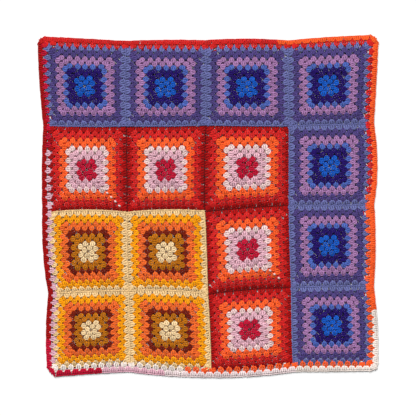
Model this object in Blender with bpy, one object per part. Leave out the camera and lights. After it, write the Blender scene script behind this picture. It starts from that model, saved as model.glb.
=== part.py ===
"""A crochet blanket of sixteen granny squares with a two-round border, laid flat.

Every square and every run of border yarn is its own closed solid. Each is drawn in a flat pattern
of even rounds and then laid by one function, laid, which gives the cloth its pulled seams and
bowed edges. A second function, lift, puffs the squares up between their seams.
"""

from collections import namedtuple

import bmesh
import bpy
from mathutils import Vector

MM = 0.001

# Stitch sizes that drive everything else, in metres.
ROUND = 0.012                          # height of one crocheted round
CLUSTER = 2 * ROUND                    # width of one three-stitch cluster with its gap
ROUNDS = 10                            # rounds in one square
COUNT = 4                              # squares along each side of the blanket
BORDER_ROUNDS = 2
CLOTH = 0.0045                         # thickness of the crochet
CLEAR = 0.0003                         # gap between neighbouring pieces

SQUARE = 2 * ROUNDS * ROUND            # side of one square
EDGE = COUNT * SQUARE / 2              # from the centre to the outer edge of the squares
OUTLINE = EDGE + BORDER_ROUNDS * ROUND  # from the centre to the outer edge of the border

# Corner spaces that are cut through: the rounds that get them, their width, and how far their
# middle sits inside the round's own corner.
SPACE_ROUNDS = (1, 3, 5, 7)
SPACE = 0.005
SPACE_INSET = 0.0035

# Mesh lines of a square, from its centre to its edge. Each corner space has a cell to itself.
INNER_LINES = (0.020, 0.044, 0.068, 0.096)

# The kinds of square: main colour, underside's height in the middle and along an inner seam.
Kind = namedtuple("Kind", "colour puff seam")
KINDS = {
    "blue": Kind((0.07, 0.08, 0.30), 0.0050, 0.0025),
    "red": Kind((0.70, 0.04, 0.03), 0.0085, 0.0),
    "yellow": Kind((0.88, 0.38, 0.03), 0.0050, 0.0025),
}
LAYOUT = (
    ("blue", "blue", "blue", "blue"),
    ("red", "red", "red", "blue"),
    ("yellow", "yellow", "red", "blue"),
    ("yellow", "yellow", "red", "blue"),
)
PUFF_POWER = 4                         # how broad the flat top of a puffed square is
SETTLE = 0.5                           # share of a square over which an outer edge settles

# The seams across the blanket, top to bottom, in millimetres: how far each of the five crossings
# lies right of and above an even grid, and how far each square's stretch of seam bows upwards.
Seam = namedtuple("Seam", "right up bow")
SEAMS = (
    Seam((-17, -11, -8, 1, 11), (16, 6, 4, 6, 20), (0, 2, 5, 2)),
    Seam((-4, -10, -9, 5, -1), (9, 8, 11, 8, 14), (-2, -2, -1, 0)),
    Seam((1, -8, -13, 5, -2), (-15, -16, -12, 7, 9), (7, 6, 2, -2)),
    Seam((17, -3, -4, 12, -1), (-21, -13, -23, -3, 2), (2, 6, 4, 1)),
    Seam((13, 0, 6, 17, 8), (-5, 7, -10, 7, 8), (1, -4, -5, 0)),
)
# The seams down the blanket, left to right, bow to the right by this much beside each square.
UPRIGHT_BOWS = (
    (-3, -3, -7, -5),
    (-3, 0, -2, 1),
    (1, -2, 1, 2),
    (0, 0, -1, -1),
    (0, 10, 5, 5),
)
# How far each square's middle lies right of and above the middle of its seams, in millimetres.
MIDDLES = (
    ((-3, -1), (-1, -2), (-2, -4), (0, -3)),
    ((-3, -5), (1, -6), (1, -3), (0, -3)),
    ((-3, -3), (-1, -6), (-1, -3), (0, 1)),
    ((-2, -6), (1, -6), (-4, -3), (3, -3)),
)
# How much wider than its two rounds the border lies at the ends of the seams, in millimetres.
BORDER_EXTRA = {
    "top": (0, -3, 1, -2, 1),
    "bottom": (5, 3, 3, 3, 1),
    "left": (-1, -5, 3, 1, 1),
    "right": (1, 0, 1, -1, 3),
}
# Share of the border's corner patch that is drawn in, as (left, right), at the top and bottom.
CORNER_DRAW = {"top": (0.25, 0.3), "bottom": (0.4, 0.15)}

YARNS = {
    "red": (0.72, 0.05, 0.04),
    "orange": (0.95, 0.14, 0.02),
    "cream": (0.80, 0.70, 0.62),
    "pink": (0.72, 0.38, 0.42),
    "pale_pink": (0.80, 0.62, 0.64),
    "crimson": (0.50, 0.02, 0.07),
    "dark_red": (0.38, 0.01, 0.01),
}
# The border's runs of yarn, clockwise from the top left corner: side, yarn, and the last
# cluster of that side which the run makes. A side's first run starts at its corner.
Run = namedtuple("Run", "side yarn last")
BORDER = {
    1: (
        Run("top", "red", 40),
        Run("right", "red", 18),
        Run("right", "orange", 40),
        Run("bottom", "orange", 23),
        Run("bottom", "cream", 40),
        Run("left", "cream", 0),
        Run("left", "pink", 27),
        Run("left", "crimson", 40),
    ),
    2: (
        Run("top", "red", 29),
        Run("top", "orange", 41),
        Run("right", "orange", 33),
        Run("right", "cream", 41),
        Run("bottom", "cream", 10),
        Run("bottom", "pale_pink", 26),
        Run("bottom", "pink", 34),
        Run("bottom", "crimson", 41),
        Run("left", "crimson", 4),
        Run("left", "dark_red", 41),
    ),
}
# Each side's direction along the border, clockwise, and its direction outwards.
SIDES = {
    "top": (Vector((1, 0)), Vector((0, 1))),
    "right": (Vector((0, -1)), Vector((1, 0))),
    "bottom": (Vector((-1, 0)), Vector((0, -1))),
    "left": (Vector((0, 1)), Vector((-1, 0))),
}


def cell(place):
    """The square that a place along one direction lies in, and how far across it that is."""
    along = min(max((place + EDGE) / SQUARE, 0.0), float(COUNT))
    index = min(int(along), COUNT - 1)
    return index, along - index


def mix(first, second, share):
    return first + (second - first) * share


def mix_at(values, index, share):
    """Reads a row of five values between two of them."""
    return mix(values[index], values[index + 1], share)


def hump(share):
    """A smooth hump over a square's side: 0 at both ends and 1 in the middle."""
    return 4 * share * (1 - share)


def drawn_in(u, v):
    """A flat point with the border's corners drawn in towards the squares."""
    past = min(abs(u), abs(v)) - EDGE
    if past <= 0:
        return u, v
    draw = past * CORNER_DRAW["top" if v > 0 else "bottom"][u > 0]
    return u - draw * (1 if u > 0 else -1), v - draw * (1 if v > 0 else -1)


def laid(u, v):
    """Where a point of the flat pattern lies, seen from above."""
    u, v = drawn_in(u, v)
    column, across = cell(u)
    row, down = cell(-v)
    upper, lower = SEAMS[row], SEAMS[row + 1]
    right = mix(mix_at(upper.right, column, across), mix_at(lower.right, column, across), down)
    up = mix(mix_at(upper.up, column, across), mix_at(lower.up, column, across), down)
    up += mix(upper.bow[column], lower.bow[column], down) * hump(across)
    bows = UPRIGHT_BOWS[column][row], UPRIGHT_BOWS[column + 1][row]
    right += mix(*bows, across) * hump(down)
    inside = hump(across) * hump(down)
    right += MIDDLES[row][column][0] * inside
    up += MIDDLES[row][column][1] * inside
    past_u = max(0.0, abs(u) - EDGE) / (OUTLINE - EDGE)
    past_v = max(0.0, abs(v) - EDGE) / (OUTLINE - EDGE)
    if u > 0:
        right += past_u * mix_at(BORDER_EXTRA["right"], row, down)
    else:
        right -= past_u * mix_at(BORDER_EXTRA["left"], row, down)
    if v > 0:
        up += past_v * mix_at(BORDER_EXTRA["top"], column, across)
    else:
        up -= past_v * mix_at(BORDER_EXTRA["bottom"], column, across)
    return Vector((u + right * MM, v + up * MM))


def settled(share, index):
    """From 0 at the blanket's outer edge to 1 inside, across the square with this index."""
    low = min(1.0, share / SETTLE) if index == 0 else 1.0
    high = min(1.0, (1 - share) / SETTLE) if index == COUNT - 1 else 1.0
    return low * high


def lift(row, column, across, down):
    """Height of the cloth's underside in a square, which puffs up between its seams."""
    kind = KINDS[LAYOUT[row][column]]
    seam = kind.seam * settled(across, column) * settled(down, row)
    bump = 1.0
    for share in (across, down):
        bump *= 1 - abs(2 * share - 1) ** PUFF_POWER
    return mix(seam, kind.puff, bump)


def middle_of(index):
    """Middle of a square along one direction of the flat pattern, from the low end."""
    return (index + 0.5) * SQUARE - EDGE


def square_lines():
    """Mesh lines across a square, with half the clearance taken off at both edges."""
    half = [*INNER_LINES, (SQUARE - CLEAR) / 2]
    return [-line for line in reversed(half)] + [0.0] + half


def blanket_lines():
    """The mesh lines of all the squares along one direction."""
    return [middle_of(index) + line for index in range(COUNT) for line in square_lines()]


def find_origin():
    """Centre of the box round the laid border, which becomes the origin."""
    points = []
    for side in (-OUTLINE, OUTLINE):
        for line in [-OUTLINE, *blanket_lines(), OUTLINE]:
            points += [laid(line, side), laid(side, line)]
    xs, ys = zip(*points)
    return Vector((min(xs) + max(xs), min(ys) + max(ys))) / 2


def grid_sheet(columns, rows):
    """A flat mesh with its lines at these places."""
    mesh = bmesh.new()
    across, up = len(columns) - 1, len(rows) - 1
    bmesh.ops.create_grid(mesh, x_segments=across, y_segments=up, size=1)
    for vertex in mesh.verts:
        column = round((vertex.co.x + 1) / 2 * across)
        row = round((vertex.co.y + 1) / 2 * up)
        vertex.co = Vector((columns[column], rows[row], 0))
    return mesh


def cell_round(mesh, place):
    """The face of a flat grid that a place lies in."""
    for face in mesh.faces:
        xs = [vertex.co.x for vertex in face.verts]
        ys = [vertex.co.y for vertex in face.verts]
        if min(xs) < place.x < max(xs) and min(ys) < place.y < max(ys):
            return face
    raise ValueError("a corner space lies on a mesh line")


def cut_corner_spaces(mesh):
    """Cuts the corner spaces of a square, which lie on its diagonals, through the flat mesh."""
    for number in SPACE_ROUNDS:
        reach = number * ROUND - SPACE_INSET
        for across, up in ((-1, -1), (-1, 1), (1, -1), (1, 1)):
            place = Vector((across * reach, up * reach, 0))
            face = cell_round(mesh, place)
            centre = face.calc_center_median()
            bmesh.ops.inset_individual(mesh, faces=[face], thickness=SPACE)
            for vertex in face.verts:
                right = 1 if vertex.co.x > centre.x else -1
                above = 1 if vertex.co.y > centre.y else -1
                vertex.co = place + Vector((right, above, 0)) * SPACE / 2
            bmesh.ops.delete(mesh, geom=[face], context="FACES")


def thicken(mesh):
    """Raises a copy of the laid sheet by the cloth's thickness and closes the walls."""
    raised = bmesh.ops.extrude_face_region(mesh, geom=mesh.faces[:], use_keep_orig=True)
    top = [item for item in raised["geom"] if isinstance(item, bmesh.types.BMVert)]
    bmesh.ops.translate(mesh, verts=top, vec=Vector((0, 0, CLOTH)))
    bmesh.ops.recalc_face_normals(mesh, faces=mesh.faces)


def wool(name, colour):
    """Soft matt yarn in one colour."""
    material = bpy.data.materials.get(name)
    if material is None:
        material = bpy.data.materials.new(name)
        material.use_nodes = True
        shader = material.node_tree.nodes["Principled BSDF"]
        shader.inputs["Base Color"].default_value = (*colour, 1.0)
        shader.inputs["Roughness"].default_value = 0.9
        shader.inputs["Metallic"].default_value = 0.0
    return material


class Blanket:
    """The collection, the parent and the origin that every piece is placed by."""

    def __init__(self):
        self.collection = bpy.data.collections.new("Granny_square_blanket")
        bpy.context.scene.collection.children.link(self.collection)
        self.parent = bpy.data.objects.new("Blanket", None)
        self.collection.objects.link(self.parent)
        self.origin = find_origin()

    def place_of(self, u, v, height=0.0):
        """Where a point of the flat pattern lies, from the blanket's origin."""
        spot = laid(u, v) - self.origin
        return Vector((spot.x, spot.y, height))

    def add(self, name, mesh, place, material):
        """Makes an object of a laid mesh, with its own origin at its place."""
        bmesh.ops.translate(mesh, verts=mesh.verts, vec=-place)
        data = bpy.data.meshes.new(name)
        mesh.to_mesh(data)
        mesh.free()
        data.materials.append(material)
        piece = bpy.data.objects.new(name, data)
        piece.location = place
        piece.parent = self.parent
        self.collection.objects.link(piece)


def add_square(blanket, row, column):
    """One puffed granny square with its open corner spaces."""
    kind = LAYOUT[row][column]
    mesh = grid_sheet(square_lines(), square_lines())
    cut_corner_spaces(mesh)
    middle_u, middle_v = middle_of(column), -middle_of(row)
    for vertex in mesh.verts:
        u, v = vertex.co.x, vertex.co.y
        height = lift(row, column, 0.5 + u / SQUARE, 0.5 - v / SQUARE)
        vertex.co = blanket.place_of(middle_u + u, middle_v + v, height)
    thicken(mesh)
    name = f"square_{row + 1}_{column + 1}_{kind}"
    material = wool(f"{kind}_square_yarn", KINDS[kind].colour)
    blanket.add(name, mesh, blanket.place_of(middle_u, middle_v), material)


def add_run(blanket, number, run, first):
    """One run of border yarn: a strip one round high, mitred where it meets a corner."""
    clusters = ROUNDS * COUNT + number
    inner = EDGE + (number - 1) * ROUND + CLEAR / 2
    outer = EDGE + number * ROUND - CLEAR / 2
    low = (first - clusters / 2) * CLUSTER + CLEAR / 2
    high = (run.last + 1 - clusters / 2) * CLUSTER - CLEAR / 2
    near_end = CLUSTER / 8
    between = [line for line in blanket_lines() if low + near_end < line < high - near_end]
    lines = [low, *between, high]
    mesh = grid_sheet(lines, (inner, outer))
    along, outwards = SIDES[run.side]
    for vertex in mesh.verts:
        height = vertex.co.y
        mitre = height - CLEAR
        reach = min(max(vertex.co.x, -mitre), mitre)
        if first == 0 and vertex.co.x < low + CLEAR:
            reach = -mitre
        if run.last == clusters - 1 and vertex.co.x > high - CLEAR:
            reach = mitre
        flat = along * reach + outwards * height
        vertex.co = blanket.place_of(flat.x, flat.y)
    thicken(mesh)
    middle = along * (low + high) / 2 + outwards * inner
    name = f"border_{number}_{run.side}_{run.yarn}"
    material = wool(f"{run.yarn}_yarn", YARNS[run.yarn])
    blanket.add(name, mesh, blanket.place_of(middle.x, middle.y), material)


def main():
    for old in list(bpy.data.objects):
        bpy.data.objects.remove(old)
    blanket = Blanket()
    for row in range(COUNT):
        for column in range(COUNT):
            add_square(blanket, row, column)
    for number, runs in BORDER.items():
        first = {side: 0 for side in SIDES}
        for run in runs:
            add_run(blanket, number, run, first[run.side])
            first[run.side] = run.last + 1


main()
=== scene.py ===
"""The looks of a crochet blanket of sixteen granny squares in a two-round border.

Every square and every run of border yarn is crocheted flat from clusters of treble stitches, and is
then laid by the same functions that lay its solid: laid pulls the seams and bows the edges, and lift
puffs the squares up between their seams.
"""

import math
from collections import namedtuple

import bmesh
import bpy
import numpy as np
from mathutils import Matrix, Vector


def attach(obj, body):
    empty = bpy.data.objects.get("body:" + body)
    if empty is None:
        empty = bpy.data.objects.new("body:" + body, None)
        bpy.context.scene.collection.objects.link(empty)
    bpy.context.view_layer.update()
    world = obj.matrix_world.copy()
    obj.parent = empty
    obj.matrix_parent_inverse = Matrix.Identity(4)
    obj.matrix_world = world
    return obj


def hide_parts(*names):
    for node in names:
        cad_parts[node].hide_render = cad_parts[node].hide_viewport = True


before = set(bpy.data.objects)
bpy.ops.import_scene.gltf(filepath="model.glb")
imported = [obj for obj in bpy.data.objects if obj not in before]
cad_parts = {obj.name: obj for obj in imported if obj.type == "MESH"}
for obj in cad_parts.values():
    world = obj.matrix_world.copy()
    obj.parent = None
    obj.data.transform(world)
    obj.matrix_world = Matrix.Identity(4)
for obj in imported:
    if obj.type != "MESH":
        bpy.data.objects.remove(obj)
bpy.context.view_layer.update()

MM = 0.001

# The pattern's sizes in metres, angles in radians, and counts.
ROUND = 0.012                          # height of one crocheted round
CLUSTER = 2 * ROUND                    # width of one cluster of the border with its gap
ROUNDS = 10                            # rounds in one square
COUNT = 4                              # squares along each side of the blanket
BORDER_ROUNDS = 2
SWELL = 0.0080                         # how far the inner rounds' tips stand out of even rounds
EDGE_SWELL = 0.0045                    # the same for the last round beside the border
SEAM_SWELL = 0.0010                    # and beside another square
SWELL_POWER = 4                        # how near the last round the swell starts to fade
OVERLAP = 0.0085                       # how far a cluster reaches down beside the tips below it
CORNER_OVERLAP = 0.006                 # the same for the two clusters in a corner space
CORNER_LOSS = 0.008                    # how much shorter a round's row of clusters is than its side
CORNER_REACH = 0.0020                  # how far a corner cluster stands nearer its corner
CORNER_TURN = 0.14                     # angle at which a corner cluster leans into its corner
CORNER_WIDTH = 0.18                    # how much wider a corner cluster is
CENTRE_HOLE = 0.0018                   # radius
LEAN = 0.0020                          # how far a cluster's tip leans leftwards of its base
LEAN_GROWTH = 0.00035                  # how much more it leans in each further round
TWIST = 0.0057                         # how far right of the even pattern the first bases sit
CLUSTER_HEIGHT = 0.021                 # of the cluster's own mesh
CLUSTER_WIDTH = 0.0205                 # of a border cluster without its gap

# How far the stitches stray from an even pattern, either way.
LEAN_SPREAD = 0.0014                   # how far a cluster's tip leans
BASE_SPREAD = 0.0006                   # where its base sits
WIDTH_SPREAD = 0.06                    # its width and depth, as a share
HEIGHT_SPREAD = 0.03                   # its height, as a share
SHADE_SPREAD = 0.5                     # how light it is
STITCH_TURN_SPREAD = 0.12              # how far a seam stitch is turned
CARRIED_TURN_SPREAD = 0.3              # and a carried one
BORDER_TIP_SPREAD = 0.0012             # where the tip of a border cluster sits
BORDER_HEIGHT_SPREAD = 0.02            # its height, as a share
SEEDS_EACH = 10                        # random seeds set aside for each square
BORDER_SEED = 200                      # the border's seeds start here

SQUARE = 2 * ROUNDS * ROUND            # side of one square
EDGE = COUNT * SQUARE / 2              # from the centre to the outer edge of the squares
OUTLINE = EDGE + BORDER_ROUNDS * ROUND  # from the centre to the outer edge of the border

# The kinds of square: underside's height in the middle and along an inner seam, the yarn of each
# round from the centre out, the yarn of the seam, and the seam stitches' pitch and turn.
Kind = namedtuple("Kind", "puff seam rounds seam_yarn seam_pitch seam_turn")
KINDS = {
    "blue": Kind(
        0.0050, 0.0025,
        ("bright_blue",) * 2 + ("indigo",) * 2 + ("light_blue",)
        + ("mauve",) * 2 + ("slate",) * 2 + ("periwinkle",),
        "periwinkle", 0.0060, math.radians(20),
    ),
    "red": Kind(
        0.0085, 0.0,
        ("crimson",) * 2 + ("pink",) * 2 + ("white",)
        + ("orange",) * 2 + ("red",) * 2 + ("dark_red",),
        # Dark red seam yarn, painted darker than the last round's dark red for the shade in the fold
        # between red squares.
        "red_seam_painted_shade", 0.0060, math.radians(25),
    ),
    "yellow": Kind(
        0.0050, 0.0025,
        ("cream",) * 2 + ("ochre",) * 2 + ("brown",)
        + ("coral",) * 2 + ("yellow",) * 2 + ("warm_cream",),
        "warm_cream", 0.0050, math.radians(35),
    ),
}
LAYOUT = (
    ("blue", "blue", "blue", "blue"),
    ("red", "red", "red", "blue"),
    ("yellow", "yellow", "red", "blue"),
    ("yellow", "yellow", "red", "blue"),
)
# Whose yarn joins two squares: the first of the two kinds in this order.
SEAM_ORDER = ("blue", "yellow", "red")

PUFF_POWER = 4                         # how broad the flat top of a puffed square is
SETTLE = 0.5                           # share of a square over which an outer edge settles
# The solids' mesh lines, from the middle of a square, and the gap between two solids.
INNER_LINES = (0.020, 0.044, 0.068, 0.096)
CLEAR = 0.0003

# The seams across the blanket, top to bottom, in millimetres: how far each of the five crossings
# lies right of and above an even grid, and how far each square's stretch of seam bows upwards.
Seam = namedtuple("Seam", "right up bow")
SEAMS = (
    Seam((-17, -11, -8, 1, 11), (16, 6, 4, 6, 20), (0, 2, 5, 2)),
    Seam((-4, -10, -9, 5, -1), (9, 8, 11, 8, 14), (-2, -2, -1, 0)),
    Seam((1, -8, -13, 5, -2), (-15, -16, -12, 7, 9), (7, 6, 2, -2)),
    Seam((17, -3, -4, 12, -1), (-21, -13, -23, -3, 2), (2, 6, 4, 1)),
    Seam((13, 0, 6, 17, 8), (-5, 7, -10, 7, 8), (1, -4, -5, 0)),
)
# The seams down the blanket, left to right, bow to the right by this much beside each square.
UPRIGHT_BOWS = (
    (-3, -3, -7, -5),
    (-3, 0, -2, 1),
    (1, -2, 1, 2),
    (0, 0, -1, -1),
    (0, 10, 5, 5),
)
# How far each square's middle lies right of and above the middle of its seams, in millimetres.
MIDDLES = (
    ((-3, -1), (-1, -2), (-2, -4), (0, -3)),
    ((-3, -5), (1, -6), (1, -3), (0, -3)),
    ((-3, -3), (-1, -6), (-1, -3), (0, 1)),
    ((-2, -6), (1, -6), (-4, -3), (3, -3)),
)
# How much wider than its two rounds the border lies at the ends of the seams, in millimetres.
BORDER_EXTRA = {
    "top": (0, -3, 1, -2, 1),
    "bottom": (5, 3, 3, 3, 1),
    "left": (-1, -5, 3, 1, 1),
    "right": (1, 0, 1, -1, 3),
}
# Share of the border's corner patch that is drawn in, as (left, right), at the top and bottom.
CORNER_DRAW = {"top": (0.25, 0.3), "bottom": (0.4, 0.15)}

# The border's runs of yarn, clockwise from the top left corner: side, yarn, and the last
# cluster of that side which the run makes. A side's first run starts at its corner.
Run = namedtuple("Run", "side yarn last")
BORDER = {
    1: (
        Run("top", "red", 40),
        Run("right", "red", 18),
        Run("right", "orange", 40),
        Run("bottom", "orange", 23),
        Run("bottom", "cream", 40),
        Run("left", "cream", 0),
        Run("left", "pink", 27),
        Run("left", "crimson", 40),
    ),
    2: (
        Run("top", "red", 29),
        Run("top", "orange", 41),
        Run("right", "orange", 33),
        Run("right", "cream", 41),
        Run("bottom", "cream", 10),
        Run("bottom", "pale_pink", 26),
        Run("bottom", "pink", 34),
        Run("bottom", "crimson", 41),
        Run("left", "crimson", 4),
        Run("left", "dark_red", 41),
    ),
}
# Each side's direction along the border, clockwise, its direction outwards, and how far left of
# the even pattern the bases and the tips of its first round sit, seen from inside. All of the
# second round sits as far left as those tips.
Side = namedtuple("Side", "along outwards bases tips")
SIDES = {
    "top": Side((1, 0), (0, 1), -0.0015, 0.0065),
    "right": Side((0, -1), (1, 0), -0.0050, -0.0020),
    "bottom": Side((-1, 0), (0, -1), 0.0035, 0.0080),
    "left": Side((0, 1), (-1, 0), 0.0030, 0.0065),
}
# Where the border's rounds have their bases and tips, from the edge of the squares outwards.
BORDER_HEIGHTS = {1: (-0.0080, 0.0145), 2: (0.0050, 0.0240)}
JOINT_SPREAD = 0.0015                  # how far round 1's bases beside a joint stand away from it
CORNER_SPREAD = 0.004                  # and those beside a corner
FADE_POWER = 8                         # how near a corner the rows' shift to the left fades

# How many stitches of the pale fifth round were carried on outwards, through the lower right
# corner spaces of a square at this row and column.
CARRIED = {(1, 0): 4, (2, 2): 3}
CARRIED_ROUND = 5
CARRIED_FROM = 0.0640                  # the first one's distance out, to the right and down
CARRIED_ASIDE = 0.003                  # how far they lie left of and below the corners' line
CARRIED_SCALE = (1.0, 1.9, 1.6)
CARRIED_SHADE = 0.2

# Yarn colours, as the web writes them.
COLOURS = {
    "bright_blue": "1058C0",
    "indigo": "220A66",
    "light_blue": "4E67B9",
    "mauve": "A678AC",
    "slate": "504280",
    "periwinkle": "6A6EA6",
    "crimson": "C40C34",
    "pink": "E7B3C1",
    "white": "EFCECB",
    "orange": "FF6128",
    "red": "D42220",
    "dark_red": "A60506",
    # painted shade: the red squares' dark red seam yarn, darkened for the shade in their folds
    "red_seam_painted_shade": "600204",
    "cream": "F4D4A2",
    "warm_cream": "F2CC92",
    "ochre": "C07008",
    "brown": "761A02",
    "coral": "F46D2B",
    "yellow": "FFA400",
    "pale_pink": "F0DCDC",
}
BORDER_COLOURS = {"cream": "F6E8DF", "pink": "E8B4C4"}


# Laying the flat pattern, as the solids are laid.

def cell(place):
    """The square that each place along one direction lies in, and how far across it that is."""
    along = np.clip((place + EDGE) / SQUARE, 0.0, COUNT)
    index = np.minimum(along.astype(int), COUNT - 1)
    return index, along - index


def mix(first, second, share):
    return first + (second - first) * share


def mix_at(values, index, share):
    """Reads a row of five values between two of them."""
    values = np.array(values)
    return mix(values[index], values[index + 1], share)


def patch(table, row, down, column, across):
    """Reads a table of crossings between four of them."""
    table = np.array(table)
    upper = mix(table[row, column], table[row, column + 1], across)
    lower = mix(table[row + 1, column], table[row + 1, column + 1], across)
    return mix(upper, lower, down)


def hump(share):
    """A smooth hump over a square's side: 0 at both ends and 1 in the middle."""
    return 4 * share * (1 - share)


def drawn_in(u, v):
    """Flat points with the border's corners drawn in towards the squares."""
    past = np.maximum(np.minimum(abs(u), abs(v)) - EDGE, 0.0)
    top = np.array(CORNER_DRAW["top"])[(u > 0).astype(int)]
    bottom = np.array(CORNER_DRAW["bottom"])[(u > 0).astype(int)]
    draw = past * np.where(v > 0, top, bottom)
    return u - draw * np.sign(u), v - draw * np.sign(v)


def laid(u, v):
    """Where points of the flat pattern lie, seen from above."""
    u, v = drawn_in(u, v)
    column, across = cell(u)
    row, down = cell(-v)
    right = patch([seam.right for seam in SEAMS], row, down, column, across)
    up = patch([seam.up for seam in SEAMS], row, down, column, across)
    bows = np.array([seam.bow for seam in SEAMS])
    up += mix(bows[row, column], bows[row + 1, column], down) * hump(across)
    bows = np.array(UPRIGHT_BOWS)
    right += mix(bows[column, row], bows[column + 1, row], across) * hump(down)
    inside = np.array(MIDDLES)[row, column] * (hump(across) * hump(down))[:, None]
    right += inside[:, 0]
    up += inside[:, 1]
    past_u = np.maximum(0.0, abs(u) - EDGE) / (OUTLINE - EDGE)
    past_v = np.maximum(0.0, abs(v) - EDGE) / (OUTLINE - EDGE)
    wider = {side: mix_at(BORDER_EXTRA[side], row, down) for side in ("left", "right")}
    right += past_u * np.where(u > 0, wider["right"], -wider["left"])
    wider = {side: mix_at(BORDER_EXTRA[side], column, across) for side in ("top", "bottom")}
    up += past_v * np.where(v > 0, wider["top"], -wider["bottom"])
    return u + right * MM, v + up * MM


def settled(share, index):
    """From 0 at the blanket's outer edge to 1 inside, across the square with this index."""
    low = np.where(index == 0, np.minimum(1.0, share / SETTLE), 1.0)
    high = np.where(index == COUNT - 1, np.minimum(1.0, (1 - share) / SETTLE), 1.0)
    return low * high


def lift(row, column, across, down):
    """Height of the cloth's underside in a square, which puffs up between its seams."""
    kinds = [[KINDS[kind] for kind in row_of_kinds] for row_of_kinds in LAYOUT]
    seams = np.array([[kind.seam for kind in row_of_kinds] for row_of_kinds in kinds])
    puffs = np.array([[kind.puff for kind in row_of_kinds] for row_of_kinds in kinds])
    seam = seams[row, column] * settled(across, column) * settled(down, row)
    bump = 1.0
    for share in (across, down):
        bump = bump * (1 - abs(2 * share - 1) ** PUFF_POWER)
    return mix(seam, puffs[row, column], bump)


def middle_of(index):
    """Middle of a square along one direction of the flat pattern, from the low end."""
    return (index + 0.5) * SQUARE - EDGE


def find_origin():
    """Centre of the box round the laid border, which is the blanket's origin."""
    half = np.array([0.0, *INNER_LINES, (SQUARE - CLEAR) / 2])
    lines = [middle_of(index) + sign * half for index in range(COUNT) for sign in (-1, 1)]
    lines = np.concatenate([*lines, [-OUTLINE, OUTLINE]])
    xs, ys = [], []
    for side in (-OUTLINE, OUTLINE):
        level = np.full_like(lines, side)
        for place in (laid(lines, level), laid(level, lines)):
            xs.append(place[0])
            ys.append(place[1])
    xs, ys = np.concatenate(xs), np.concatenate(ys)
    return Vector(((xs.min() + xs.max()) / 2, (ys.min() + ys.max()) / 2))


ORIGIN = find_origin()


# Node trees, for materials and for geometry.

class Value:
    """An output of a node tree. Python arithmetic on it adds Math nodes."""

    def __init__(self, tree, socket):
        self.tree = tree
        self.socket = socket

    def of(self, name):
        """Another output of the same node."""
        return Value(self.tree, self.socket.node.outputs[name])

    def __add__(self, other):
        return self.tree.math("ADD", self, other)

    __radd__ = __add__

    def __sub__(self, other):
        return self.tree.math("SUBTRACT", self, other)

    def __rsub__(self, other):
        return self.tree.math("SUBTRACT", other, self)

    def __neg__(self):
        return self.tree.math("MULTIPLY", self, -1)

    def __mul__(self, other):
        return self.tree.math("MULTIPLY", self, other)

    __rmul__ = __mul__

    def __truediv__(self, other):
        return self.tree.math("DIVIDE", self, other)

    def __rtruediv__(self, other):
        return self.tree.math("DIVIDE", other, self)

    def __mod__(self, other):
        return self.tree.math("FLOORED_MODULO", self, other)

    def __pow__(self, other):
        return self.tree.math("POWER", self, other)


class Tree:
    """Adds nodes to a node tree."""

    def __init__(self, tree):
        self.tree = tree

    def node(self, kind, settings=None, inputs=None):
        """A node with its settings set first, then the values or links of its sockets."""
        made = self.tree.nodes.new(kind)
        for name, value in (settings or {}).items():
            if name == "stops":
                self.set_stops(made.color_ramp, value)
            else:
                setattr(made, name, value)
        for name, value in (inputs or {}).items():
            socket = self.socket_of(made, name)
            links = value if isinstance(value, list) else [value]
            for link in links:
                if isinstance(link, Value):
                    self.tree.links.new(link.socket, socket)
                else:
                    socket.default_value = link
        shown = [socket for socket in made.outputs if socket.enabled]
        return Value(self, shown[0]) if shown else None

    def math(self, operation, *values):
        return self.node("ShaderNodeMath", {"operation": operation}, dict(enumerate(values)))

    def grey(self, value):
        return self.node("ShaderNodeCombineColor", None, {
            "Red": value, "Green": value, "Blue": value})

    def multiply(self, first, second):
        return self.node("ShaderNodeMix", {"data_type": "RGBA", "blend_type": "MULTIPLY"}, {
            "Factor": 1.0, "A": first, "B": second})

    @staticmethod
    def socket_of(node, name):
        if isinstance(name, int):
            return node.inputs[name]
        return next(one for one in node.inputs if one.name == name and one.enabled)

    @staticmethod
    def set_stops(ramp, stops):
        while len(ramp.elements) > 1:
            ramp.elements.remove(ramp.elements[-1])
        for index, (place, colour) in enumerate(stops):
            stop = ramp.elements[0] if index == 0 else ramp.elements.new(place)
            stop.position = place
            stop.color = colour


def linear(name, colours=COLOURS):
    """A named colour as linear light, with full alpha."""
    code = colours[name]
    parts = [int(code[place:place + 2], 16) / 255 for place in (0, 2, 4)]
    return (*(((part + 0.055) / 1.055) ** 2.4 for part in parts), 1.0)


# Yarn.

PLY_TURN = 3.4                         # millimetres along the yarn for one turn of its plies
PLIES = 3
# Levels in the cloth, in millimetres, for the shade painted into the yarn's colour: yarn has
# full painted shade below the first, none above the second.
DEEP = 1.3
PROUD = 2.9
# The painted shade's lightness at full depth, beside the yarn's colour squared.
PAINTED_SHADE_LIGHT = 0.75                      # light left on yarn in full shade, besides its deeper colour
# The yarn's mean lightness, and how much of it its flecks, its stitch's own shade, its plies and
# its fibres change. The plies' part is painted shade in the grooves between them.
MEAN_LIGHT = 0.80
HEATHER_LIGHT = 1.2
SHADE_LIGHT = 0.2
PLY_GROOVE_SHADE = 0.18
FIBRE_LIGHT = 0.6


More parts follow.
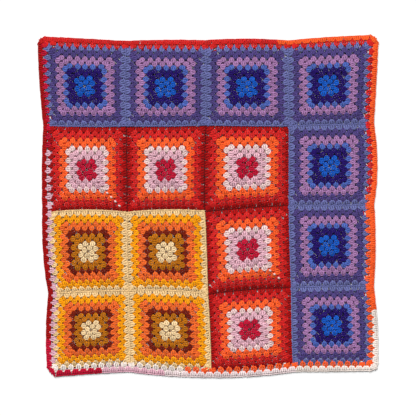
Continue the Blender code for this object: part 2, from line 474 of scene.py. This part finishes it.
def yarn_material(name, colour_of):
    """Soft matt plied wool. colour_of adds the nodes for its colour and returns their output."""
    material = bpy.data.materials.new(name)
    material.use_nodes = True
    tree = Tree(material.node_tree)
    shader = material.node_tree.nodes["Principled BSDF"]
    place = tree.node("ShaderNodeTexCoord").of("Object")
    fibre = tree.node("ShaderNodeTexNoise", None, {
        "Vector": place, "Scale": 1400.0, "Detail": 3.0, "Roughness": 0.7})
    heather = tree.node("ShaderNodeTexNoise", None, {
        "Vector": place, "Scale": 300.0, "Detail": 2.0})
    shade = tree.node("ShaderNodeAttribute", {"attribute_name": "shade"}).of("Fac")
    along = tree.node("ShaderNodeUVMap", {"uv_map": "yarn"})
    parts = tree.node("ShaderNodeSeparateXYZ", None, {"Vector": along})
    turn = parts.of("X") / PLY_TURN + parts.of("Y") * PLIES
    ply = tree.math("SINE", turn * (2 * math.pi)) * 0.5 + 0.5
    light = MEAN_LIGHT + (heather - 0.5) * HEATHER_LIGHT + (shade - 0.5) * SHADE_LIGHT
    # The plies' term is painted shade: the yarn is darker in the grooves between its plies.
    light = light + ply * PLY_GROOVE_SHADE + (fibre - 0.5) * FIBRE_LIGHT
    level = tree.node("ShaderNodeAttribute", {"attribute_name": "level"}).of("Fac")
    raised = tree.node("ShaderNodeMapRange", {"interpolation_type": "SMOOTHSTEP"}, {
        "Value": level, "From Min": DEEP, "From Max": PROUD})
    surface = colour_of(tree)
    # Painted shade: yarn low in the cloth gets a darker, deeper colour, standing in for the shade
    # among the strands.
    painted_shade = tree.multiply(tree.multiply(surface, surface), tree.grey(PAINTED_SHADE_LIGHT))
    colour = tree.node("ShaderNodeMix", {"data_type": "RGBA"}, {
        "Factor": raised, "A": painted_shade, "B": surface})
    colour = tree.multiply(colour, tree.grey(light))
    bump = tree.node("ShaderNodeBump", None, {
        "Strength": 0.7, "Distance": 0.0006, "Height": ply * 0.7 + fibre * 0.8})
    tree.tree.links.new(colour.socket, shader.inputs["Base Color"])
    tree.tree.links.new((0.82 + (fibre - 0.5) * 0.2).socket, shader.inputs["Roughness"])
    tree.tree.links.new(bump.socket, shader.inputs["Normal"])
    shader.inputs["Specular IOR Level"].default_value = 0.1
    shader.inputs["Sheen Weight"].default_value = 0.05
    shader.inputs["Sheen Roughness"].default_value = 0.5
    return material


def round_colours(kind):
    """Nodes for the colours of a square's rounds, read from the round that a stitch is in."""
    yarns = (*kind.rounds, kind.seam_yarn)

    def colour(tree):
        number = tree.node("ShaderNodeAttribute", {"attribute_name": "round"}).of("Fac")
        share = 1 / (len(yarns) + 1)
        stops = [((index + 0.5) * share, linear(yarn)) for index, yarn in enumerate(yarns)]
        ramp = tree.node("ShaderNodeValToRGB", {"stops": stops}, {"Fac": number * share})
        ramp.socket.node.color_ramp.interpolation = "CONSTANT"
        return ramp

    return colour


def one_colour(name):
    """A node for the single colour of a border yarn."""
    def colour(tree):
        colours = {**COLOURS, **BORDER_COLOURS}
        return tree.node("ShaderNodeMix", {"data_type": "RGBA"}, {
            "Factor": 0.0, "A": linear(name, colours), "B": linear(name, colours)})

    return colour


# Stitches, in millimetres, from the base at the origin up +Y, with +Z out of the cloth.

STRAND_SIDES = 5
POST_HEIGHTS = (0.0, 5.5, 9.5, 13.5, 17.8)
POST_LEVELS = (3.3, 3.2, 2.9, 2.6, 2.4)
OUTER_START = 4.8
# How a cluster's posts fan out: how far they have come at each height, and half the widths of the
# middle and the outer ones there. They draw together at the tip, or stay apart along a seam and
# along the edge.
Fan = namedtuple("Fan", "shares middle outer")
GATHERED = Fan((0.0, 0.70, 1.0, 0.98, 0.52), (1.8, 2.5, 2.6, 2.5, 2.3), (1.5, 2.5, 3.1, 3.0, 2.1))
SEAMED = Fan((0.0, 0.6, 0.9, 1.0, 1.0), (2.4, 3.2, 3.4, 3.6, 3.7), (1.8, 3.0, 3.4, 3.6, 3.7))
EDGED = Fan((0.0, 0.55, 0.84, 0.97, 1.0), (1.8, 2.7, 3.0, 3.2, 3.3), (1.5, 2.6, 3.0, 3.2, 3.3))
POST_FLATNESS = 0.38
BRAID_HEIGHT = 19.2
BRAID_LEVEL = 3.0
BRAID_WIDTH = 1.8
BRAID_FLATNESS = 0.55
BRAID_NECK = 0.8                       # its width between two posts, as a share
BRAID_SINK = 0.3                       # how far it sinks for each millimetre that it droops
CHAIN_HEIGHT = -1.2
CHAIN_LEVEL = 0.9
CHAIN_WIDTH = 2.4
CHAIN_FLATNESS = 0.25
JOINT_SPLAY = 1.04                     # how much further apart a joint's posts are at the tips


def add_strand(mesh, path, widths, flatness):
    """A closed strand of yarn through these points, with half its width at each."""
    yarn = mesh.loops.layers.uv["yarn"]
    level = mesh.verts.layers.float["level"]
    points = [Vector(point) for point in path]
    rings = []
    reach = [0.0]
    for index, (point, width) in enumerate(zip(points, widths)):
        ahead = points[min(index + 1, len(points) - 1)] - points[max(index - 1, 0)]
        across = ahead.cross(Vector((0, 0, 1))).normalized()
        up = across.cross(ahead).normalized() * flatness
        turns = [2 * math.pi * (side + 0.5) / STRAND_SIDES for side in range(STRAND_SIDES)]
        spots = [point + (across * math.sin(a) + up * math.cos(a)) * width for a in turns]
        rings.append([mesh.verts.new(spot * MM) for spot in spots])
        # Each point's level in the cloth, which sets how much painted shade the yarn's colour gets.
        for vertex, spot in zip(rings[-1], spots):
            vertex[level] = (point.z + spot.z) / 2
        if index:
            reach.append(reach[-1] + (point - points[index - 1]).length)
    for index in range(len(rings) - 1):
        for side in range(STRAND_SIDES):
            beside = (side + 1) % STRAND_SIDES
            near, far = rings[index], rings[index + 1]
            face = mesh.faces.new((near[side], near[beside], far[beside], far[side]))
            spots = ((index, side), (index, side + 1), (index + 1, side + 1), (index + 1, side))
            for loop, (ring, turn) in zip(face.loops, spots):
                loop[yarn].uv = (reach[ring], turn / STRAND_SIDES)
    for ring, place in ((rings[0], reach[0]), (rings[-1], reach[-1])):
        face = mesh.faces.new(ring)
        for loop in face.loops:
            loop[yarn].uv = (place, 0.0)


def stitch_object(name, strands):
    """An object that is only copied onto points, made of these strands."""
    mesh = bmesh.new()
    mesh.loops.layers.uv.new("yarn")
    mesh.verts.layers.float.new("level")
    for strand in strands:
        add_strand(mesh, *strand)
    bmesh.ops.recalc_face_normals(mesh, faces=mesh.faces)
    for face in mesh.faces:
        face.smooth = True
    data = bpy.data.meshes.new(name)
    mesh.to_mesh(data)
    mesh.free()
    made = bpy.data.objects.new(name, data)
    bpy.context.scene.collection.objects.link(made)
    return made


def post(base, top, fan):
    """A treble's post from its place at the base to its place at the top. All but a middle post
    show only from a little above the base."""
    path = []
    for height, level, share in zip(POST_HEIGHTS, POST_LEVELS, fan.shares):
        height = max(height, OUTER_START if top else 0.0)
        path.append((mix(base, top, share), height, level))
    return path, fan.outer if top else fan.middle, POST_FLATNESS


def braid(heads, reach, droop):
    """The braid over posts with their heads at these places. It reaches this far to each side
    and droops there, behind the next round's clusters."""
    path, widths = [], []
    places = [-reach]
    for place, following in zip(heads, heads[1:]):
        places += [place, (place + following) / 2]
    places += [heads[-1], reach]
    for index, place in enumerate(places):
        share = abs(place) / reach
        drop = droop * share ** 2
        path.append((place, BRAID_HEIGHT - drop, BRAID_LEVEL - drop * BRAID_SINK))
        widths.append(BRAID_WIDTH * (1.0 if index % 2 else BRAID_NECK))
    return path, widths, BRAID_FLATNESS


def chain(reach, height=CHAIN_HEIGHT):
    """A chain that lies deep in the cloth and reaches this far to each side. At its usual height
    it is the one that the cluster is worked round, and elsewhere it closes a space."""
    path = [(share * reach, height * (1 - share ** 2 / 2), CHAIN_LEVEL) for share in (-1, 0, 1)]
    return path, [width * CHAIN_WIDTH for width in (0.7, 1.0, 0.7)], CHAIN_FLATNESS


def make_stitches():
    """The clusters and the seam stitch that everything is made of. A post's two places are how
    far to the side it starts and ends."""
    clusters = {
        "round": [
            *(post(*places, GATHERED) for places in ((-0.8, -5.7), (0.0, 0.0), (0.8, 5.7))),
            braid((-3.0, 0.0, 3.0), 8.2, 5.0), chain(3.9),
        ],
        "border": [
            *(post(*places, GATHERED) for places in ((-0.8, -6.2), (0.0, 0.0), (0.8, 6.2))),
            braid((-3.0, 0.0, 3.0), 8.2, 4.0), chain(3.9), chain(12.0, 5.5),
        ],
        "seam": [
            *(post(*places, SEAMED) for places in ((-0.8, -7.2), (0.0, 0.0), (0.8, 7.2))),
            braid((-7.6, 0.0, 7.6), 12.4, 0.3), chain(4.0),
        ],
        "joint": [
            *(post(place, place * JOINT_SPLAY, EDGED) for place in (-6.9, -2.3, 2.3, 6.9)),
            braid((-5.6, 0.0, 5.6), 10.8, 6.4), chain(11.0), chain(9.0, -3.5),
        ],
        "edge": [
            *(post(*places, EDGED)
              for places in ((-1.2, -9.6), (-0.4, -3.2), (0.4, 3.2), (1.2, 9.6))),
            braid((-9.2, -3.0, 3.0, 9.2), 13.4, 0.3), chain(4.5), chain(12.0, 5.5),
        ],
    }
    made = {name: stitch_object(f"cluster_{name}", strands) for name, strands in clusters.items()}
    arch = ((-4.2, 0, 2.8), (-1.8, 0, 3.7), (1.8, 0, 3.7), (4.2, 0, 2.8))
    made["stitch"] = stitch_object("seam_stitch", [(arch, (1.0, 1.7, 1.7, 1.0), 0.6)])
    return made


# Geometry trees.

def geometry_group(name, sockets):
    """A geometry tree with these named inputs. Returns its tree and the inputs' values."""
    group = bpy.data.node_groups.new(name, "GeometryNodeTree")
    group.interface.new_socket("Geometry", in_out="OUTPUT", socket_type="NodeSocketGeometry")
    for title, kind in sockets.items():
        group.interface.new_socket(title, in_out="INPUT", socket_type=f"NodeSocket{kind}")
    tree = Tree(group)
    given = tree.node("NodeGroupInput")
    return tree, {title: given.of(title) for title in sockets}


def close_group(tree, parts, material):
    """Realizes the copies, gives them their material and ends the tree."""
    joined = tree.node("GeometryNodeJoinGeometry", None, {"Geometry": parts})
    real = tree.node("GeometryNodeRealizeInstances", None, {"Geometry": joined})
    finished = tree.node("GeometryNodeSetMaterial", None, {"Geometry": real, "Material": material})
    tree.node("NodeGroupOutput", None, {"Geometry": finished})
    return tree.tree


def equal(tree, value, other):
    return tree.math("COMPARE", value, other, 0.1)


def chance(tree, seed, index, most):
    """A random number from -most to most for each point."""
    return tree.node(
        "FunctionNodeRandomValue", {"data_type": "FLOAT"},
        {"Min": -most, "Max": most, "Seed": seed + index})


def copies(tree, count, position, turn, scale, stitch, stored, chosen=None):
    """Copies of a stitch on points that carry the stored values."""
    points = tree.node("GeometryNodePoints", None, {"Count": count, "Position": position})
    for name, value in stored.items():
        points = tree.node(
            "GeometryNodeStoreNamedAttribute", {"data_type": "FLOAT", "domain": "POINT"},
            {"Geometry": points, "Name": name, "Value": value})
    shape = tree.node("GeometryNodeObjectInfo", None, {"Object": stitch}).of("Geometry")
    spin = tree.node("ShaderNodeCombineXYZ", None, {"Z": turn})
    sockets = {
        "Points": points,
        "Instance": shape,
        "Rotation": tree.node("FunctionNodeEulerToRotation", None, {"Euler": spin}),
        "Scale": scale,
    }
    if chosen is not None:
        sockets["Selection"] = chosen
    return tree.node("GeometryNodeInstanceOnPoints", None, sockets)


def turned(tree, x, y, turn):
    """A flat place turned about the origin, as a vector."""
    cosine, sine = tree.math("COSINE", turn), tree.math("SINE", turn)
    return tree.node("ShaderNodeCombineXYZ", None, {
        "X": x * cosine - y * sine, "Y": x * sine + y * cosine})


SIDE_NAMES = ("top", "left", "bottom", "right")  # each a quarter turn to the left of the last


def on_sides(tree, given, title, side):
    """1 where a stitch is on a side whose input of this title is on, and 0 elsewhere."""
    chosen = 0.0
    for number, name in enumerate(SIDE_NAMES):
        chosen = equal(tree, side, number) * given[f"{title} {name}"] + chosen
    return chosen


def square_clusters(tree, given, index, side):
    """The clusters of every round, with the seam's kind where the last one meets a square."""
    rounds, height, seed = given["Rounds"], given["Round height"], given["Seed"]
    # Round n has n clusters on a side, and those of the rounds inside it are counted before them.
    # The last term keeps a whole number from being rounded down.
    spot = (index - side) / 4
    ring = tree.math("FLOOR", (tree.math("SQRT", 8 * spot + 1) - 1) / 2 + 0.001)
    number = ring + 1
    order = spot - ring * number / 2

    def tips(of_round):
        return of_round * height + given["Swell"] * (1 - (of_round / rounds) ** SWELL_POWER)

    from_middle = order - ring / 2
    in_corner = equal(tree, tree.math("ABSOLUTE", from_middle), ring / 2)
    pitch = 2 * height - given["Corner loss"] / number
    corner = in_corner * (1 - 1 / number)
    along = from_middle * pitch + tree.math("SIGN", from_middle) * corner * given["Corner reach"]
    overlap = mix(given["Overlap"], given["Corner overlap"], in_corner)
    base = tree.math("MAXIMUM", tips(ring) - overlap, given["Centre hole"])
    joined = on_sides(tree, given, "Joined", side)
    outermost = equal(tree, number, rounds)
    straight = outermost * joined
    swell = mix(given["Edge swell"], given["Seam swell"], joined) * outermost
    tall = tips(number) + swell - base
    growth = given["Lean growth"] * number
    lean = given["Lean"] + growth + chance(tree, seed, 1, LEAN_SPREAD)
    right = given["Twist"] - growth + chance(tree, seed, 5, BASE_SPREAD)
    quarter = side * (math.pi / 2)
    into_corner = tree.math("SIGN", from_middle) * corner * given["Corner turn"] * (1 - straight)
    tilt = tree.math("ARCTANGENT", lean / tall) - into_corner
    scale = tree.node("ShaderNodeCombineXYZ", None, {
        "X": 1 + corner * given["Corner width"] + chance(tree, seed, 2, WIDTH_SPREAD),
        "Y": tall / given["Cluster height"] * (1 + chance(tree, seed, 3, HEIGHT_SPREAD)),
        "Z": 1 + chance(tree, seed, 4, WIDTH_SPREAD)})
    position = turned(tree, along + right, base, quarter)
    parts = []
    for stitch, chosen in (("Cluster", 1 - straight), ("Seam cluster", straight)):
        parts.append(copies(
            tree,
            count=2 * rounds * (rounds + 1),
            position=position,
            turn=quarter + tilt,
            scale=scale,
            stitch=given[stitch],
            stored={"round": number, "shade": 0.5 + chance(tree, seed, 6, SHADE_SPREAD)},
            chosen=chosen))
    return parts


def seam_stitches(tree, given, index, side):
    """Slanted stitches along the joints with the chosen neighbours."""
    rounds, height, seed = given["Rounds"], given["Round height"], given["Seed"]
    quarter = side * (math.pi / 2)
    per_side = tree.math("FLOOR", 2 * rounds * height / given["Seam pitch"])
    along = ((index - side) / 4 - per_side / 2 + 0.5) * given["Seam pitch"]
    return copies(
        tree,
        count=4 * per_side,
        position=turned(tree, along, rounds * height, quarter),
        turn=quarter + given["Seam turn"] + chance(tree, seed, 7, STITCH_TURN_SPREAD),
        scale=(1.0, 1.0, 1.0),
        stitch=given["Seam stitch"],
        stored={"round": rounds + 1, "shade": 0.5 + chance(tree, seed, 8, SHADE_SPREAD)},
        chosen=on_sides(tree, given, "Stitched", side))


def carried_stitches(tree, given, index):
    """A round's yarn carried on outwards, one stitch a round, by the lower right corners."""
    out = given["Carried from"] + index * given["Round height"]
    aside = given["Carried aside"]
    return copies(
        tree,
        count=given["Carried"],
        position=tree.node("ShaderNodeCombineXYZ", None, {"X": out - aside, "Y": -aside - out}),
        turn=chance(tree, given["Seed"], 9, CARRIED_TURN_SPREAD) - math.pi / 4,
        scale=given["Carried scale"],
        stitch=given["Seam stitch"],
        stored={"round": given["Carried round"], "shade": given["Carried shade"]})


def granny_square_group():
    """Rounds of clusters round a centre, stitches along the chosen sides, and carried yarn."""
    tree, given = geometry_group("Granny square", {
        "Cluster": "Object",
        "Seam cluster": "Object",
        "Seam stitch": "Object",
        "Material": "Material",
        "Rounds": "Int",
        "Round height": "Float",
        "Swell": "Float",
        "Edge swell": "Float",
        "Seam swell": "Float",
        "Overlap": "Float",
        "Corner overlap": "Float",
        "Corner loss": "Float",
        "Corner reach": "Float",
        "Corner turn": "Float",
        "Corner width": "Float",
        "Centre hole": "Float",
        "Lean": "Float",
        "Lean growth": "Float",
        "Twist": "Float",
        "Cluster height": "Float",
        "Seam pitch": "Float",
        "Seam turn": "Float",
        "Carried": "Int",
        "Carried round": "Int",
        "Carried from": "Float",
        "Carried aside": "Float",
        "Carried scale": "Vector",
        "Carried shade": "Float",
        **{f"Joined {name}": "Bool" for name in SIDE_NAMES},
        **{f"Stitched {name}": "Bool" for name in SIDE_NAMES},
        "Seed": "Int",
    })
    index = tree.node("GeometryNodeInputIndex")
    side = index % 4
    parts = square_clusters(tree, given, index, side)
    parts.append(seam_stitches(tree, given, index, side))
    parts.append(carried_stitches(tree, given, index))
    return close_group(tree, parts, given["Material"])


def border_run_group():
    """A row of clusters along one side, with wide ones at the joints between squares."""
    tree, given = geometry_group("Border run", {
        "Cluster": "Object",
        "Joint cluster": "Object",
        "Corner cluster": "Object",
        "Material": "Material",
        "First": "Int",
        "Last": "Int",
        "Clusters": "Int",
        "Pitch": "Float",
        "Per square": "Int",
        "Base": "Float",
        "Tips": "Float",
        "Bases left": "Float",
        "Tips left": "Float",
        "Joint spread": "Float",
        "Corner spread": "Float",
        "Cluster height": "Float",
        "Seed": "Int",
    })
    number = tree.node("GeometryNodeInputIndex") + given["First"]
    last = given["Clusters"] - 1
    along = (number - last / 2) * given["Pitch"]
    fade = 1 - (number * 2 / last - 1) ** FADE_POWER
    at_start, at_end = equal(tree, number, 0), equal(tree, number, last)
    # The wide kind is made over each joint and once more after it and after the first corner.
    past_joint = number % given["Per square"]
    over_joint = tree.math("LESS_THAN", past_joint, 1.5)
    joint = over_joint * (1 - at_start) * (1 - at_end)
    share = past_joint / given["Per square"]
    spread = given["Joint spread"] * (1 - 2 * share) * (1 - over_joint)
    corner = at_start - at_end
    seed = given["Seed"]
    tall = given["Tips"] - given["Base"]
    base_at = along - given["Bases left"] * fade + spread + given["Corner spread"] * corner
    tip_at = along - given["Tips left"] * fade + chance(tree, seed, 1, BORDER_TIP_SPREAD)
    tilt = tree.math("ARCTANGENT", (base_at - tip_at) / tall)
    scale = tree.node("ShaderNodeCombineXYZ", None, {
        "X": 1 + chance(tree, seed, 2, WIDTH_SPREAD),
        "Y": tall / given["Cluster height"] * (1 + chance(tree, seed, 3, BORDER_HEIGHT_SPREAD)),
        "Z": 1.0})
    in_row = tree.node("ShaderNodeCombineXYZ", None, {"X": base_at, "Y": given["Base"]})
    in_corner = tree.node("ShaderNodeCombineXYZ", None, {
        "X": -given["Base"], "Y": given["Base"]})
    parts = []
    for stitch, chosen, position, turn in (
        ("Cluster", 1 - joint, in_row, tilt),
        ("Joint cluster", joint, in_row, tilt),
        ("Corner cluster", at_start, in_corner, math.pi / 4),
    ):
        parts.append(copies(
            tree,
            count=given["Last"] - given["First"] + 1,
            position=position,
            turn=turn,
            scale=scale,
            stitch=given[stitch],
            stored={"round": 1.0, "shade": 0.5 + chance(tree, seed, 4, SHADE_SPREAD)},
            chosen=chosen))
    return close_group(tree, parts, given["Material"])


def grown(name, group, values):
    """The plain mesh object that a geometry tree makes with these values of its inputs."""
    host = bpy.data.objects.new(name, bpy.data.meshes.new(name))
    bpy.context.scene.collection.objects.link(host)
    modifier = host.modifiers.new(group.name, "NODES")
    modifier.node_group = group
    for item in group.interface.items_tree:
        if item.item_type == "SOCKET" and item.in_out == "INPUT":
            modifier[item.identifier] = values[item.name]
    graph = bpy.context.evaluated_depsgraph_get()
    mesh = bpy.data.meshes.new_from_object(host.evaluated_get(graph))
    host.modifiers.remove(modifier)
    host.data = mesh
    mesh.name = name
    return host


def points_of(mesh):
    flat = np.empty(len(mesh.vertices) * 3)
    mesh.vertices.foreach_get("co", flat)
    return flat.reshape(-1, 3)


def set_points(mesh, points):
    mesh.vertices.foreach_set("co", points.ravel())
    mesh.update()


def map_from_above(mesh):
    """A map of the piece as seen from above, which the cloth's colours are baked through."""
    points = points_of(mesh)[:, :2]
    low = points.min(axis=0)
    share = (points - low) / (points - low).max()
    corners = np.empty(len(mesh.loops), int)
    mesh.loops.foreach_get("vertex_index", corners)
    layer = mesh.uv_layers.new(name="OFBake")
    layer.data.foreach_set("uv", share[corners].ravel())


def laid_size(row, column):
    """Mean width and height of one laid square, which is the size it was crocheted to."""
    low, high = column * SQUARE - EDGE, (column + 1) * SQUARE - EDGE
    top, bottom = EDGE - row * SQUARE, EDGE - (row + 1) * SQUARE
    u, v = laid(np.array([low, high, high, low]), np.array([top, top, bottom, bottom]))
    width = math.dist((u[0], v[0]), (u[1], v[1])) + math.dist((u[2], v[2]), (u[3], v[3]))
    height = math.dist((u[1], v[1]), (u[2], v[2])) + math.dist((u[3], v[3]), (u[0], v[0]))
    return width / 2, height / 2


def add_square(groups, stitches, materials, row, column):
    """One granny square, laid in its place."""
    kind_name = LAYOUT[row][column]
    kind = KINDS[kind_name]
    name = f"square_{row + 1}_{column + 1}_{kind_name}"
    near = {"top": (row - 1, column), "left": (row, column - 1)}
    near.update({"bottom": (row + 1, column), "right": (row, column + 1)})
    seams = {}
    for side, (beside_row, beside_column) in near.items():
        joined = 0 <= beside_row < COUNT and 0 <= beside_column < COUNT
        seams[f"Joined {side}"] = joined
        if joined:
            other = SEAM_ORDER.index(LAYOUT[beside_row][beside_column])
            own = SEAM_ORDER.index(kind_name)
            joined = own < other or (own == other and side in ("top", "left"))
        seams[f"Stitched {side}"] = joined
    piece = grown(f"{name}_crochet", groups["square"], {
        "Cluster": stitches["round"],
        "Seam cluster": stitches["seam"],
        "Seam stitch": stitches["stitch"],
        "Material": materials[kind_name],
        "Rounds": ROUNDS,
        "Round height": ROUND,
        "Swell": SWELL,
        "Edge swell": EDGE_SWELL,
        "Seam swell": SEAM_SWELL,
        "Overlap": OVERLAP,
        "Corner overlap": CORNER_OVERLAP,
        "Corner loss": CORNER_LOSS,
        "Corner reach": CORNER_REACH,
        "Corner turn": CORNER_TURN,
        "Corner width": CORNER_WIDTH,
        "Centre hole": CENTRE_HOLE,
        "Lean": LEAN,
        "Lean growth": LEAN_GROWTH,
        "Twist": TWIST,
        "Cluster height": CLUSTER_HEIGHT,
        "Seam pitch": kind.seam_pitch,
        "Seam turn": kind.seam_turn,
        "Carried": CARRIED.get((row, column), 0),
        "Carried round": CARRIED_ROUND,
        "Carried from": CARRIED_FROM,
        "Carried aside": CARRIED_ASIDE,
        "Carried scale": CARRIED_SCALE,
        "Carried shade": CARRIED_SHADE,
        "Seed": SEEDS_EACH * (row * COUNT + column),
        **seams,
    })
    x, y, z = points_of(piece.data).T
    across = np.clip(0.5 + x / SQUARE, 0.0, 1.0)
    down = np.clip(0.5 - y / SQUARE, 0.0, 1.0)
    u, v = laid(middle_of(column) + x, y - middle_of(row))
    height = z + lift(np.full(len(x), row), np.full(len(x), column), across, down)
    set_points(piece.data, np.stack((u - ORIGIN.x, v - ORIGIN.y, height), axis=1))
    finish_piece(piece, name, laid_size(row, column))


def add_run(groups, stitches, materials, number, run, first):
    """One run of border yarn, laid along its side."""
    name = f"border_{number}_{run.side}_{run.yarn}"
    last_round = number == BORDER_ROUNDS
    side = SIDES[run.side]
    base, tips = BORDER_HEIGHTS[number]
    piece = grown(f"{name}_crochet", groups["border"], {
        "Cluster": stitches["edge" if last_round else "border"],
        "Joint cluster": stitches["edge" if last_round else "joint"],
        "Corner cluster": stitches["border"],
        "Material": materials[run.yarn],
        "First": first,
        "Last": run.last,
        "Clusters": ROUNDS * COUNT + number,
        "Pitch": CLUSTER,
        "Per square": ROUNDS,
        "Base": EDGE + base,
        "Tips": EDGE + tips,
        "Bases left": side.tips if last_round else side.bases,
        "Tips left": side.tips,
        "Joint spread": 0.0 if last_round else JOINT_SPREAD,
        "Corner spread": CORNER_SPREAD,
        "Cluster height": CLUSTER_HEIGHT,
        "Seed": BORDER_SEED + SEEDS_EACH * number + first,
    })
    x, y, z = points_of(piece.data).T
    flat_u = x * side.along[0] + y * side.outwards[0]
    flat_v = x * side.along[1] + y * side.outwards[1]
    column, across = cell(flat_u)
    row, down = cell(-flat_v)
    u, v = laid(flat_u, flat_v)
    height = z + lift(row, column, across, down)
    set_points(piece.data, np.stack((u - ORIGIN.x, v - ORIGIN.y, height), axis=1))
    # A side's first run also makes the cluster that turns the corner.
    length = (run.last - first + (first == 0)) * CLUSTER + CLUSTER_WIDTH
    finish_piece(piece, name, (length, tips - base))


def finish_piece(piece, node, flat):
    """Maps and smooths a finished piece, attaches it to the root body and hides the solid it stands
    for.
    """
    map_from_above(piece.data)
    piece.data.shade_smooth()
    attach(piece, "root")
    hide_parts(node)


def make_blanket():
    stitches = make_stitches()
    groups = {"square": granny_square_group(), "border": border_run_group()}
    squares = {
        kind: yarn_material(f"{kind}_square_yarns", round_colours(KINDS[kind])) for kind in KINDS
    }
    for row in range(COUNT):
        for column in range(COUNT):
            add_square(groups, stitches, squares, row, column)
    border = {}
    for number, runs in BORDER.items():
        first = {side: 0 for side in SIDES}
        for run in runs:
            if run.yarn not in border:
                border[run.yarn] = yarn_material(f"{run.yarn}_border_yarn", one_colour(run.yarn))
            add_run(groups, stitches, border, number, run, first[run.side])
            first[run.side] = run.last + 1
    for stitch in stitches.values():
        bpy.data.objects.remove(stitch)


# The photograph's view, straight down, and the studio.

PHOTO_WIDTH = 416
PIXEL = 0.00304                        # metres of the blanket across one pixel
PHOTO_CENTRE = (208.7, 207.5)          # pixel of the middle of the flat pattern
CAMERA_HEIGHT = 5.0
FLOOR_SIZE = 12.0
FLOOR_DROP = 0.0005                    # how far the floor lies below the blanket's underside


def add_camera():
    camera = bpy.data.cameras.new("camera")
    camera.sensor_width = 36.0
    camera.lens = camera.sensor_width * CAMERA_HEIGHT / (PHOTO_WIDTH * PIXEL)
    holder = bpy.data.objects.new("camera", camera)
    right = (PHOTO_WIDTH / 2 - PHOTO_CENTRE[0]) * PIXEL
    up = (PHOTO_CENTRE[1] - PHOTO_WIDTH / 2) * PIXEL
    holder.location = (right - ORIGIN.x, up - ORIGIN.y, CAMERA_HEIGHT)
    bpy.context.scene.collection.objects.link(holder)
    bpy.context.scene.camera = holder


def add_floor():
    bpy.ops.mesh.primitive_plane_add(size=FLOOR_SIZE, location=(0, 0, -FLOOR_DROP))
    floor = bpy.context.object
    floor.name = "floor"
    material = bpy.data.materials.new("floor_white")
    material.use_nodes = True
    shader = material.node_tree.nodes["Principled BSDF"]
    shader.inputs["Base Color"].default_value = (0.9, 0.9, 0.9, 1.0)
    shader.inputs["Roughness"].default_value = 0.9
    shader.inputs["Specular IOR Level"].default_value = 0.0
    floor.data.materials.append(material)


def add_window(towards, strength, spread):
    """Soft daylight that falls evenly from one direction."""
    light = bpy.data.lights.new("window", "SUN")
    light.energy = strength
    light.angle = spread
    holder = bpy.data.objects.new("window", light)
    holder.rotation_euler = Vector(towards).to_track_quat("Z", "Y").to_euler()
    bpy.context.scene.collection.objects.link(holder)


def add_studio():
    add_floor()
    add_window(towards=(-0.35, 1.0, 1.0), strength=4.6, spread=math.radians(50))
    world = bpy.data.worlds.new("studio")
    world.use_nodes = True
    world.node_tree.nodes["Background"].inputs["Color"].default_value = (1.0, 1.0, 1.0, 1.0)
    world.node_tree.nodes["Background"].inputs["Strength"].default_value = 0.16
    bpy.context.scene.world = world
    bpy.context.scene.view_settings.view_transform = "Standard"


add_camera()
make_blanket()
add_studio()
